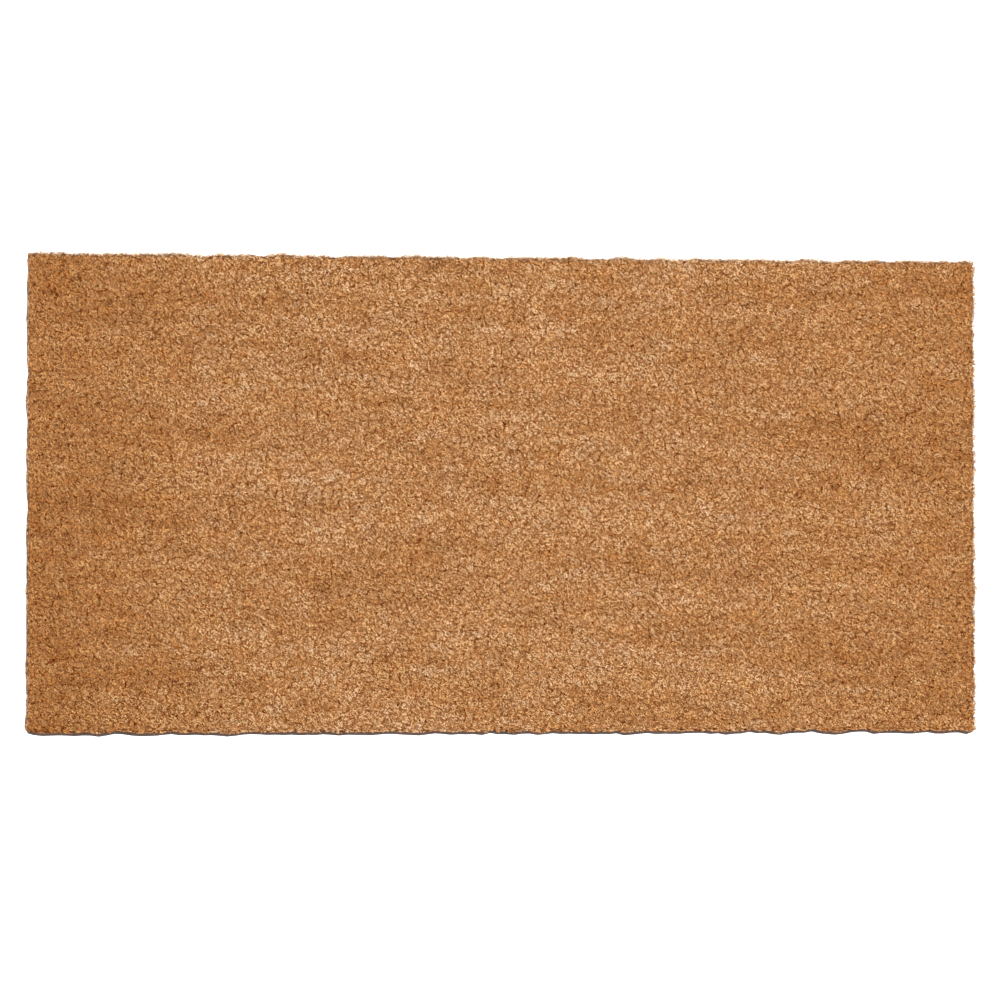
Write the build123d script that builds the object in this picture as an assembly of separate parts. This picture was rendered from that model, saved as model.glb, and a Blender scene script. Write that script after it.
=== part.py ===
from build123d import *

import os

# PVC-backed coir door mat, in millimetres.
# The origin is the middle of the underside, +X runs along the long side and +Z points up.

# Overall sizes
MAT_LENGTH = 900.0
MAT_WIDTH = 450.0
MAT_THICKNESS = 15.0
CORNER_RADIUS = 4.0

# PVC backing
BACKING_THICKNESS = 3.0

# Coir tufts, which stand upright in rows that run along the mat
NOMINAL_ROW_PITCH = 5.0
ROOT_DEPTH = 1.5
ROOT_GAP = 1.6
TIP_GAP = 0.2

# The rows share the width evenly, and the outer two reach the cut sides with their tips.
ROW_COUNT = max(1, round(MAT_WIDTH / NOMINAL_ROW_PITCH))
ROW_PITCH = (MAT_WIDTH + TIP_GAP) / ROW_COUNT
ROOT_WIDTH = ROW_PITCH - ROOT_GAP
TIP_WIDTH = ROW_PITCH - TIP_GAP
ROOT_LEVEL = BACKING_THICKNESS - ROOT_DEPTH


def mat_outline(height):
    """The mat's cut outline as a prism that stands on the ground."""
    outline = RectangleRounded(MAT_LENGTH, MAT_WIDTH, CORNER_RADIUS)
    return extrude(outline, amount=height)


def tuft_row(y):
    """One row of tufts: narrow where the PVC grips the roots, and spread at the tips."""
    section = Plane.YZ * Polygon(
        (y - ROOT_WIDTH / 2, ROOT_LEVEL),
        (y + ROOT_WIDTH / 2, ROOT_LEVEL),
        (y + TIP_WIDTH / 2, MAT_THICKNESS),
        (y - TIP_WIDTH / 2, MAT_THICKNESS),
        align=None,
    )
    return extrude(section, amount=MAT_LENGTH / 2, both=True)


def tuft_rows():
    """Every row, sheared level on top and cut to the mat's outline."""
    first = -(ROW_COUNT - 1) / 2 * ROW_PITCH
    cut = mat_outline(MAT_THICKNESS)
    return [tuft_row(first + i * ROW_PITCH) & cut for i in range(ROW_COUNT)]


def pvc_backing(rows):
    """The PVC sheet, which sets round the roots and leaves a groove for each row."""
    return mat_outline(BACKING_THICKNESS) - rows


def only_solid(shape):
    """The one solid that a cut left."""
    solids = shape.solids()
    assert len(solids) == 1, f"expected one solid, found {len(solids)}"
    return solids[0]


def main():
    os.makedirs("parts", exist_ok=True)
    rows = [only_solid(row) for row in tuft_rows()]
    backing = only_solid(pvc_backing(rows))
    export_step(backing, "parts/pvc_backing.step")
    export_step(Compound(children=rows), "parts/coir_tuft_rows.step")


main()
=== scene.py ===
"""A PVC-backed coir door mat on a plain studio floor.

The tufted pile, the fibres along its cut edges, the packed fibre under them and the backing are each grown by
their own geometry nodes tree, inside the box of the CAD frame.
"""

import math
from functools import partial

import bpy
from bpy.props import FloatProperty, FloatVectorProperty, IntProperty, PointerProperty
from mathutils import Matrix, Vector


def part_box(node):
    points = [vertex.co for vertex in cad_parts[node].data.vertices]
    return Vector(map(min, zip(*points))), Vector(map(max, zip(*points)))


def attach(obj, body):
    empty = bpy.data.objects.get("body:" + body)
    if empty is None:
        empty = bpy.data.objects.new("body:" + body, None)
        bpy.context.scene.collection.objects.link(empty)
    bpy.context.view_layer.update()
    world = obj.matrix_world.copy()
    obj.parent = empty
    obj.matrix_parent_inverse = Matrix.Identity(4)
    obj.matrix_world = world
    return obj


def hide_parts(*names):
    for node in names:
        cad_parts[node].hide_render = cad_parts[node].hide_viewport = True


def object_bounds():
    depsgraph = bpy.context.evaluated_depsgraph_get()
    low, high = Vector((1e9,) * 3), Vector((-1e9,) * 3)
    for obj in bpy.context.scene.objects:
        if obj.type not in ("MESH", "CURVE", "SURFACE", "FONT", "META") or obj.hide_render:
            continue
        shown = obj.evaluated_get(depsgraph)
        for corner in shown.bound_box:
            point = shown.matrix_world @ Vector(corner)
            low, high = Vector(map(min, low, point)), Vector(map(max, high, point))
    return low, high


bl_info = {
    "name": "Coir Door Mat",
    "version": (1, 0, 0),
    "blender": (4, 5, 0),
    "location": "View3D > Sidebar > Door Mat",
    "description": "Builds a tufted coconut fibre door mat with a PVC backing",
    "category": "Add Mesh",
}

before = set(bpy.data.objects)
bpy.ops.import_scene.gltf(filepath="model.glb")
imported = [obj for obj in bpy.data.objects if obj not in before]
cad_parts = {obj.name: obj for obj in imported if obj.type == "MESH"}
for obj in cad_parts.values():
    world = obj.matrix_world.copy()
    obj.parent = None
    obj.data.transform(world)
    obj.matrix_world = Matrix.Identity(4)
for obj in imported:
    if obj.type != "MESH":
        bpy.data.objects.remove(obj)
CAD_LOW, CAD_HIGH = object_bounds()
BACKING_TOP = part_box("pvc_backing")[1].z
PILE_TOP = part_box("coir_tuft_rows")[1].z
MAT_LENGTH = CAD_HIGH.x - CAD_LOW.x
MAT_WIDTH = CAD_HIGH.y - CAD_LOW.y
MM = 0.001

# Attributes that the trees store and the materials read
FIBRE_TONE = "fibre_tone"
TUFT_TONE = "tuft_tone"
# Attributes that only the trees use
FIBRE_LINE = "fibre_line"
TUFT_LEAN = "tuft_lean"
MAP_CELL = "map_cell"
SHAPE_MAP = "shape_map"
# The UV map of the fibres
FIBRE_MAP = "OFBake"


def linear(hex_value):
    """An sRGB hex colour as linear red, green and blue."""
    channels = [int(hex_value[i : i + 2], 16) / 255 for i in (1, 3, 5)]
    return tuple(c / 12.92 if c <= 0.04045 else ((c + 0.055) / 1.055) ** 2.4 for c in channels)


# ------------------------------------------------------------------ settings


class OutlineSettings(bpy.types.PropertyGroup):
    """How the mat is cut out of the wide web"""

    corner_radius: FloatProperty(
        name="Corner radius", description="Radius of a plain corner", default=3 * MM, unit="LENGTH"
    )
    clipped_radius: FloatProperty(
        name="Clipped corner radius", description="Radius of the corner that lost more", default=7 * MM, unit="LENGTH"
    )
    bare_rim: FloatProperty(
        name="Bare rim", description="Backing that the slanting near cut leaves bare", default=2.4 * MM, unit="LENGTH"
    )
    waviness: FloatProperty(
        name="Waviness", description="How far the cut wanders from straight", default=12 * MM, unit="LENGTH"
    )


class PileSettings(bpy.types.PropertyGroup):
    """The tufted coconut fibre"""

    strips: IntProperty(name="Strips", description="Pieces that the pile is made in", default=10, min=1)
    tuft_pitch: FloatProperty(name="Tuft pitch", description="Gap between tufts", default=5 * MM, unit="LENGTH")
    fibres_per_tuft: IntProperty(name="Fibres per tuft", description="Fibres drawn in a tuft", default=18, min=1)
    fibre_length: FloatProperty(
        name="Fibre length", description="Length of fibre that shows", default=5.8 * MM, unit="LENGTH"
    )
    # Real fibres are 0.1 to 0.45 mm wide, too fine to show, so fewer and wider ones are drawn.
    fibre_width: FloatProperty(
        name="Fibre width", description="Width of a drawn fibre", default=0.68 * MM, unit="LENGTH"
    )
    shear_depth: FloatProperty(
        name="Shear depth", description="How far below the shears tips may end", default=2.2 * MM, unit="LENGTH"
    )
    pit_depth: FloatProperty(
        name="Pit depth", description="Depth of the gaps between tufts", default=2.8 * MM, unit="LENGTH"
    )
    spread: FloatProperty(name="Spread", description="Greatest slope of a fibre off the upright", default=1.3)
    nap: FloatVectorProperty(
        name="Nap", description="How far the tips lean over as a whole", default=(0.5 * MM, 0.8 * MM), size=2
    )
    loose_fibres: IntProperty(name="Loose fibres", description="Fibres that lie on the pile", default=160, min=0)


class ColourSettings(bpy.types.PropertyGroup):
    """The colours of the fibre, the PVC and the floor"""

    deep: FloatVectorProperty(
        name="Deep brown", description="Darkest fibres", default=linear("#6E431E"), subtype="COLOR"
    )
    red_brown: FloatVectorProperty(
        name="Red brown", description="Fibres from ripe husk", default=linear("#AF7A4A"), subtype="COLOR"
    )
    gold: FloatVectorProperty(
        name="Golden tan", description="Most of the fibres", default=linear("#D9B284"), subtype="COLOR"
    )
    straw: FloatVectorProperty(
        name="Straw", description="Palest fibres", default=linear("#CAA375"), subtype="COLOR"
    )
    rim_tint: FloatVectorProperty(
        name="Rim tint", description="Dust along the cut", default=linear("#BCA384"), subtype="COLOR"
    )
    pvc: FloatVectorProperty(name="PVC", description="Backing", default=linear("#37281F"), subtype="COLOR")
    floor: FloatVectorProperty(name="Floor", description="Studio floor", default=linear("#F2F1EF"), subtype="COLOR")


class StudioSettings(bpy.types.PropertyGroup):
    """Camera and light"""

    camera_distance: FloatProperty(
        name="Camera distance", description="Camera to mat", default=4.0, unit="LENGTH"
    )
    lens: FloatProperty(name="Lens", description="Focal length in millimetres", default=152.4, unit="CAMERA")
    lean_left: FloatProperty(
        name="Lean left", description="Camera's angle off the upright, leftwards", default=0.1155, subtype="ANGLE"
    )
    lean_near: FloatProperty(
        name="Lean near", description="Camera's angle off the upright, nearwards", default=0.0281, subtype="ANGLE"
    )
    aim: FloatVectorProperty(
        name="Aim", description="Where the camera points on the mat", default=(-5.4 * MM, -3.8 * MM), size=2
    )
    key_power: FloatProperty(name="Key light", description="Power of the main light", default=125.0, unit="POWER")
    overhead_power: FloatProperty(
        name="Overhead light", description="Power of the light over the middle", default=16.0, unit="POWER"
    )
    sky: FloatProperty(name="Sky", description="Strength of the even light all round", default=2.72)


# ------------------------------------------------------------------ node helpers


def sockets(**kinds):
    """The type of each named socket, from a list of names for each kind of socket."""
    return {name: f"NodeSocket{kind}" for kind, names in kinds.items() for name in names.split(", ")}


def add_node(tree, kind, inputs=None, result=0, **settings):
    """Adds a node, sets it up, links or fills its inputs, and returns the output asked for."""
    node = tree.nodes.new(kind)
    for name, value in settings.items():
        setattr(node, name, value)
    for socket, value in (inputs or {}).items():
        for single in value if isinstance(value, list) else [value]:
            if isinstance(single, bpy.types.NodeSocket):
                tree.links.new(single, node.inputs[socket])
            else:
                node.inputs[socket].default_value = single
    return node.outputs[result] if node.outputs else node


def reckon(add, kind, value, *steps):
    """Puts a value through one step after another, each an operation and what else goes into it."""
    for operation, *others in steps:
        inputs = {0: value, "Scale": others[0]} if operation == "SCALE" else dict(enumerate((value, *others)))
        value = add(kind, inputs, operation=operation)
    return value


def new_tree(name, inputs, result="NodeSocketGeometry"):
    """A geometry nodes tree with these named inputs: it, what adds its nodes, and what it is given."""
    tree = bpy.data.node_groups.new(name, "GeometryNodeTree")
    for socket, kind in inputs.items():
        tree.interface.new_socket(socket, in_out="INPUT", socket_type=kind)
    tree.interface.new_socket("Result", in_out="OUTPUT", socket_type=result)
    given = tree.nodes.new("NodeGroupInput").outputs
    return tree, partial(add_node, tree), given


def grow(name, tree, values, node="coir_tuft_rows"):
    """Runs a tree with these values for its named inputs, and keeps the result as a piece that is a plain mesh.

    The piece stands for a CAD node and moves with the mat."""
    seedling = bpy.data.objects.new("seedling", bpy.data.meshes.new("seedling"))
    bpy.context.scene.collection.objects.link(seedling)
    modifier = seedling.modifiers.new("grow", "NODES")
    modifier.node_group = tree
    for item in tree.interface.items_tree:
        if item.in_out == "INPUT":
            modifier[item.identifier] = values[item.name]
    depsgraph = bpy.context.evaluated_depsgraph_get()
    mesh = bpy.data.meshes.new_from_object(seedling.evaluated_get(depsgraph), depsgraph=depsgraph)
    mesh.name = name
    bpy.data.objects.remove(seedling)
    piece = bpy.data.objects.new(name, mesh)
    bpy.context.scene.collection.objects.link(piece)
    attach(piece, "root")
    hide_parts(node)
    return piece


# ------------------------------------------------------------------ outline

OUTLINE_SOCKETS = sockets(
    Float="Corner Radius, Clipped Radius, Waviness",
    Vector="Half Size, Shift",
)
WANDER_DEPTH = 25 * MM
# About how many times the cut swings to and fro in a metre
WANDER_SCALE = 40.0
# For each pair of sides: the way that it runs, the way that it wanders, and the lane of noise that it follows
WANDER_LANES = (("Y", "X", 3.0), ("X", "Y", 11.0))
# Stands in for no length at all, where something is divided by a length
TINY = 0.001 * MM


def outline_values(outline, bare_rim=0.0):
    """The outline's sizes by the names that the trees give them, for a layer that stops short of the near cut."""
    return {
        "Half Size": (MAT_LENGTH / 2, (MAT_WIDTH - bare_rim) / 2, 1.0),
        "Corner Radius": outline.corner_radius,
        "Clipped Radius": outline.clipped_radius,
        "Waviness": outline.waviness,
        "Shift": (0.0, bare_rim / 2, 0.0),
    }


def outline_tree():
    """Moves a point of a plain rectangle on to the real outline, with round corners and a wandering knife cut."""
    tree, add, given = new_tree("Knife-cut outline", sockets(Vector="Position") | OUTLINE_SOCKETS, "NodeSocketVector")
    place = add("ShaderNodeSeparateXYZ", {0: given["Position"]}).node.outputs
    flat = add("ShaderNodeVectorMath", {0: given["Position"], 1: (1, 1, 0)}, operation="MULTIPLY")
    side = add("ShaderNodeVectorMath", {0: flat}, operation="SIGN")
    size = add("ShaderNodeVectorMath", {0: flat}, operation="ABSOLUTE")

    # The near left corner is the clipped one.
    left = add("ShaderNodeMath", {0: place["X"], 1: 0.0}, operation="LESS_THAN")
    near = add("ShaderNodeMath", {0: place["Y"], 1: 0.0}, operation="LESS_THAN")
    clipped = add("ShaderNodeMath", {0: left, 1: near}, operation="MULTIPLY")
    radii = {"Value": clipped, "To Min": given["Corner Radius"], "To Max": given["Clipped Radius"]}
    radius = add("ShaderNodeMapRange", radii)
    radius = add("ShaderNodeCombineXYZ", {"X": radius, "Y": radius})

    # Past the middle of the corner's circle, the square corner is drawn in to the circle.
    middle = add("ShaderNodeVectorMath", {0: given["Half Size"], 1: radius}, operation="SUBTRACT")
    past = reckon(add, "ShaderNodeVectorMath", size, ("SUBTRACT", middle), ("MAXIMUM", (0, 0, 0)))
    parts = add("ShaderNodeSeparateXYZ", {0: past}).node.outputs
    longer = add("ShaderNodeMath", {0: parts["X"], 1: parts["Y"]}, operation="MAXIMUM")
    straight = add("ShaderNodeVectorMath", {0: past}, "Value", operation="LENGTH")
    straight = add("ShaderNodeMath", {0: straight, 1: TINY}, operation="MAXIMUM")
    share = add("ShaderNodeMath", {0: longer, 1: straight}, operation="DIVIDE")
    past = add("ShaderNodeVectorMath", {0: past, "Scale": share}, operation="SCALE")
    within = add("ShaderNodeVectorMath", {0: size, 1: middle}, operation="MINIMUM")
    rounded = add("ShaderNodeVectorMath", {0: within, 1: past}, operation="ADD")

    # Each side wanders by its own noise, which dies away inside the mat.
    depth = (WANDER_DEPTH, WANDER_DEPTH, 1.0)
    start = add("ShaderNodeVectorMath", {0: given["Half Size"], 1: depth}, operation="SUBTRACT")
    weight = reckon(add, "ShaderNodeVectorMath", size, ("SUBTRACT", start), ("DIVIDE", depth), ("MAXIMUM", (0, 0, 0)))
    sides = add("ShaderNodeSeparateXYZ", {0: side}).node.outputs
    levels = []
    for along, across, lane in WANDER_LANES:
        lane = add("ShaderNodeMath", {0: sides[across], 1: lane, 2: 2 * lane}, operation="MULTIPLY_ADD")
        where = add("ShaderNodeCombineXYZ", {"X": place[along], "Y": lane})
        noise = add("ShaderNodeTexNoise", {"Vector": where, "Scale": WANDER_SCALE, "Detail": 3.0, "Roughness": 0.6})
        levels.append(add("ShaderNodeMath", {0: noise, 1: 0.5}, operation="SUBTRACT"))
    wander = add("ShaderNodeCombineXYZ", {"X": levels[0], "Y": levels[1]})
    wander = add("ShaderNodeVectorMath", {0: wander, "Scale": given["Waviness"]}, operation="SCALE")
    moved = reckon(add, "ShaderNodeVectorMath", wander, ("MULTIPLY_ADD", weight, rounded), ("MULTIPLY", side))
    moved = add("ShaderNodeSeparateXYZ", {0: moved}).node.outputs
    moved = add("ShaderNodeCombineXYZ", {"X": moved["X"], "Y": moved["Y"], "Z": place["Z"]})
    moved = add("ShaderNodeVectorMath", {0: moved, 1: given["Shift"]}, operation="ADD")
    add("NodeGroupOutput", {"Result": moved})
    return tree


def follow_outline(add, given, geometry, position):
    """Sets the points of a plain rectangle where the real outline puts them."""
    outline = {"Position": position, **{name: given[name] for name in OUTLINE_SOCKETS}}
    outline = add("GeometryNodeGroup", outline, node_tree=bpy.data.node_groups["Knife-cut outline"])
    return add("GeometryNodeSetPosition", {"Geometry": geometry, "Position": outline})


# ------------------------------------------------------------------ fibres


FIBRE_SIDES = 3


def fibre_tree():
    """One closed fibre, two units long and two wide, with three sides, tapered ends and a bow to one side.

    Its sides share one place on the map, with the fibre's length up the map."""
    tree, add, given = new_tree("Fibre", sockets(Int="Rings", Float="Bow"))
    ball = add("GeometryNodeMeshUVSphere", {"Segments": FIBRE_SIDES, "Rings": given["Rings"]}).node.outputs
    face = add("GeometryNodeFaceOfCorner", result="Face Index")
    side = add("ShaderNodeMath", {0: face, 1: FIBRE_SIDES}, operation="MODULO")
    around = add("ShaderNodeSeparateXYZ", {0: ball["UV Map"]}).node.outputs
    across = reckon(add, "ShaderNodeMath", around["X"], ("MULTIPLY", FIBRE_SIDES), ("SUBTRACT", side))
    spot = add("ShaderNodeCombineXYZ", {"X": across, "Y": around["Y"]})
    spot = {"Geometry": ball["Mesh"], "Name": SHAPE_MAP, "Value": spot}
    stored = add("GeometryNodeStoreNamedAttribute", spot, data_type="FLOAT_VECTOR", domain="CORNER")
    place = add("ShaderNodeSeparateXYZ", {0: add("GeometryNodeInputPosition")}).node.outputs
    square = add("ShaderNodeMath", {0: place["Z"], 1: place["Z"]}, operation="MULTIPLY")
    bow = reckon(add, "ShaderNodeMath", 1.0, ("SUBTRACT", square), ("MULTIPLY", given["Bow"]))
    bow = add("ShaderNodeCombineXYZ", {"X": bow})
    bowed = add("GeometryNodeSetPosition", {"Geometry": stored, "Offset": bow})
    bowed = add("GeometryNodeSetShadeSmooth", {"Geometry": bowed, "Shade Smooth": True})
    add("NodeGroupOutput", {"Result": bowed})
    return tree


# The first seed that a tree adds to its own for the draws of its points. Its fibres take the seeds from 0 to 3.
FIRST_SEED = 10.0
# A fibre's half width, as a share of the width that is asked for, and the part of its map cell that it fills
FIBRE_WIDTHS = (0.32, 0.68)
CELL_FILL = 0.8
# For the fibres of each piece: their rings, which give them their tapered ends and their bends, how far they bow, as
# shares of their half width, and their tones
PILE_FIBRES = (2, (0.2, 0.5, 0.9, 1.4), (0.0, 1.0))
CUT_FIBRES = (3, (0.2, 0.6, 1.0), (0.0, 1.0))
LOOSE_FIBRES = (7, (2.0, 4.0, 6.0), (1.1, 1.5))


def plant_fibres(add, given, tips, rings, bows, tones):
    """Grows a fibre along the line that each tip holds, gives it a tone and a map cell, and makes it all real."""
    index = add("GeometryNodeInputIndex")
    drawn = []
    for order, (low, high) in enumerate((tones, FIBRE_WIDTHS, (0.0, math.tau))):
        seed = add("ShaderNodeMath", {0: given["Seed"], 1: float(order)}, operation="ADD")
        drawn.append(add("FunctionNodeRandomValue", {"ID": index, "Seed": seed, 2: low, 3: high}, 1))
    tone, wide, roll = drawn
    seed = add("ShaderNodeMath", {0: given["Seed"], 1: 3.0}, operation="ADD")
    which = {"ID": index, "Seed": seed, 4: 0, 5: len(bows) - 1}
    which = add("FunctionNodeRandomValue", which, 2, data_type="INT")
    column = add("ShaderNodeMath", {0: index, 1: given["Map Cells"]}, operation="MODULO")
    row = reckon(add, "ShaderNodeMath", index, ("DIVIDE", given["Map Cells"]), ("FLOOR",))
    cell = add("ShaderNodeCombineXYZ", {"X": column, "Y": row})
    tips = add("GeometryNodeStoreNamedAttribute", {"Geometry": tips, "Name": FIBRE_TONE, "Value": tone})
    cell = {"Geometry": tips, "Name": MAP_CELL, "Value": cell}
    tips = add("GeometryNodeStoreNamedAttribute", cell, data_type="FLOAT_VECTOR")

    line = add("GeometryNodeInputNamedAttribute", {"Name": FIBRE_LINE}, data_type="FLOAT_VECTOR")
    back = add("ShaderNodeVectorMath", {0: line, "Scale": -0.5}, operation="SCALE")
    middles = add("GeometryNodeSetPosition", {"Geometry": tips, "Offset": back})
    wide = add("ShaderNodeMath", {0: given["Fibre Width"], 1: wide}, operation="MULTIPLY")
    half = add("ShaderNodeVectorMath", {0: back}, "Value", operation="LENGTH")
    scale = add("ShaderNodeCombineXYZ", {"X": wide, "Y": wide, "Z": half})
    roll = add("FunctionNodeAxisAngleToRotation", {"Axis": (0, 0, 1), "Angle": roll})
    turn = add("FunctionNodeAlignRotationToVector", {"Vector": line}, axis="Z")
    turn = add("FunctionNodeRotateRotation", {0: turn, 1: roll}, rotation_space="LOCAL")

    shapes = []
    for bow in bows:
        fibre = {"Rings": rings, "Bow": bow}
        fibre = add("GeometryNodeGroup", fibre, node_tree=bpy.data.node_groups["Fibre"])
        shapes.append(add("GeometryNodeGeometryToInstance", {0: fibre}))
    planting = {
        "Points": middles,
        "Instance": add("GeometryNodeJoinGeometry", {0: shapes}),
        "Pick Instance": True,
        "Instance Index": which,
        "Rotation": turn,
        "Scale": scale,
    }
    planted = add("GeometryNodeInstanceOnPoints", planting)
    mesh = add("GeometryNodeRealizeInstances", {0: planted})

    # Each fibre fills its own cell of the map, but for a rim.
    rim = (1 - CELL_FILL) / 2
    cell = add("GeometryNodeInputNamedAttribute", {"Name": MAP_CELL}, data_type="FLOAT_VECTOR")
    spot = add("GeometryNodeInputNamedAttribute", {"Name": SHAPE_MAP}, data_type="FLOAT_VECTOR")
    fill = {0: spot, 1: (CELL_FILL, CELL_FILL, 0), 2: (rim, rim, 0)}
    spot = add("ShaderNodeVectorMath", fill, operation="MULTIPLY_ADD")
    spot = add("ShaderNodeVectorMath", {0: cell, 1: spot}, operation="ADD")
    share = add("ShaderNodeMath", {0: 1.0, 1: given["Map Cells"]}, operation="DIVIDE")
    spot = add("ShaderNodeVectorMath", {0: spot, "Scale": share}, operation="SCALE")
    spot = {"Geometry": mesh, "Name": FIBRE_MAP, "Value": spot}
    mesh = add("GeometryNodeStoreNamedAttribute", spot, data_type="FLOAT2", domain="CORNER")
    for name in (MAP_CELL, SHAPE_MAP, FIBRE_LINE, TUFT_LEAN):
        mesh = add("GeometryNodeRemoveAttribute", {"Geometry": mesh, "Name": name})
    return add("GeometryNodeSetMaterial", {"Geometry": mesh, "Material": given["Material"]})


def draw(add, given, spans):
    """A random value between the ends of each span, every one from a seed of its own."""
    index = add("GeometryNodeInputIndex")
    drawn = []
    for order, (low, high) in enumerate(spans):
        seed = add("ShaderNodeMath", {0: given["Seed"], 1: FIRST_SEED + order}, operation="ADD")
        kind, first = ("FLOAT", 2) if isinstance(low, float) else ("FLOAT_VECTOR", 0)
        span = {"ID": index, "Seed": seed, first: low, first + 1: high}
        drawn.append(add("FunctionNodeRandomValue", span, first // 2, data_type=kind))
    return drawn


def flat_span(reach):
    """From one corner to the other of a square that reaches this far from its middle."""
    return (-reach, -reach, 0), (reach, reach, 0)


# ------------------------------------------------------------------ pile

PIT_GAP = 4.6 * MM
CLUMP_SIZE = 7 * MM
# The nap's heading, and how a place is scaled along it and across it
NAP_TURN = math.radians(40)
NAP_DRAW = (0.62, 1.25, 0)
# How far the lines along the nap stray, and in what distance
SWAY_REACH = 2.5 * MM
SWAY_SIZE = 4 * MM


def along_nap(add, where):
    """The place on the flat, turned and drawn out, so that what is laid by it is longer along the nap."""
    turned = {"Vector": where, "Angle": NAP_TURN}
    turned = add("ShaderNodeVectorRotate", turned, rotation_type="Z_AXIS")
    return add("ShaderNodeVectorMath", {0: turned, 1: NAP_DRAW}, operation="MULTIPLY")


def sway(add, where):
    """The place along the nap, pushed a little out of line."""
    where = along_nap(add, where)
    push = add("ShaderNodeTexNoise", {"Vector": where, "Scale": 1 / SWAY_SIZE, "Detail": 1.0}, "Color")
    push = add("ShaderNodeVectorMath", {0: push, 1: (0.5, 0.5, 0.5)}, operation="SUBTRACT")
    push = {0: push, 1: (SWAY_REACH, SWAY_REACH, 0), 2: where}
    return add("ShaderNodeVectorMath", push, operation="MULTIPLY_ADD")


def pit_distance(add, swayed):
    """How far a swayed place is from the nearest gap between tufts, as a share of the way from gap to gap."""
    cells = {"Vector": swayed, "Scale": 1 / PIT_GAP}
    return add("ShaderNodeTexVoronoi", cells, "Distance", voronoi_dimensions="2D")


PILE_SOCKETS = sockets(
    Int="Tufts Along, Tufts Across, Fibres per Tuft, Map Cells, Seed",
    Float="Tuft Pitch, Centre Y, Fibre Length, Fibre Width, Tip Height, Shear Depth, Pit Depth, Spread",
    Vector="Nap",
    Material="Material",
)
HOLLOW_SIZE = 8 * MM
# How far a tuft strays from its place in the grid, and how much it slopes
TUFT_STRAY = 1.3 * MM
TUFT_SLOPE = 0.25
# A tuft's fan of fibres, as a share of the tuft pitch, and how much the outer fibres slope
FAN_REACH = 0.62
FAN_SLOPE = 0.35
# Most tips end near the shears' height, and fewer and fewer lower down.
SHEAR_POWER = 1.6
FIBRE_LENGTHS = (0.7, 1.3)
# The share of its length that a fibre in a pit loses
PIT_CLIP = 0.6
# Fibres this near the cut slope outwards, by this share of their own slope.
CUT_DEPTH = 6 * MM
CUT_SLOPE = 0.25


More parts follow.
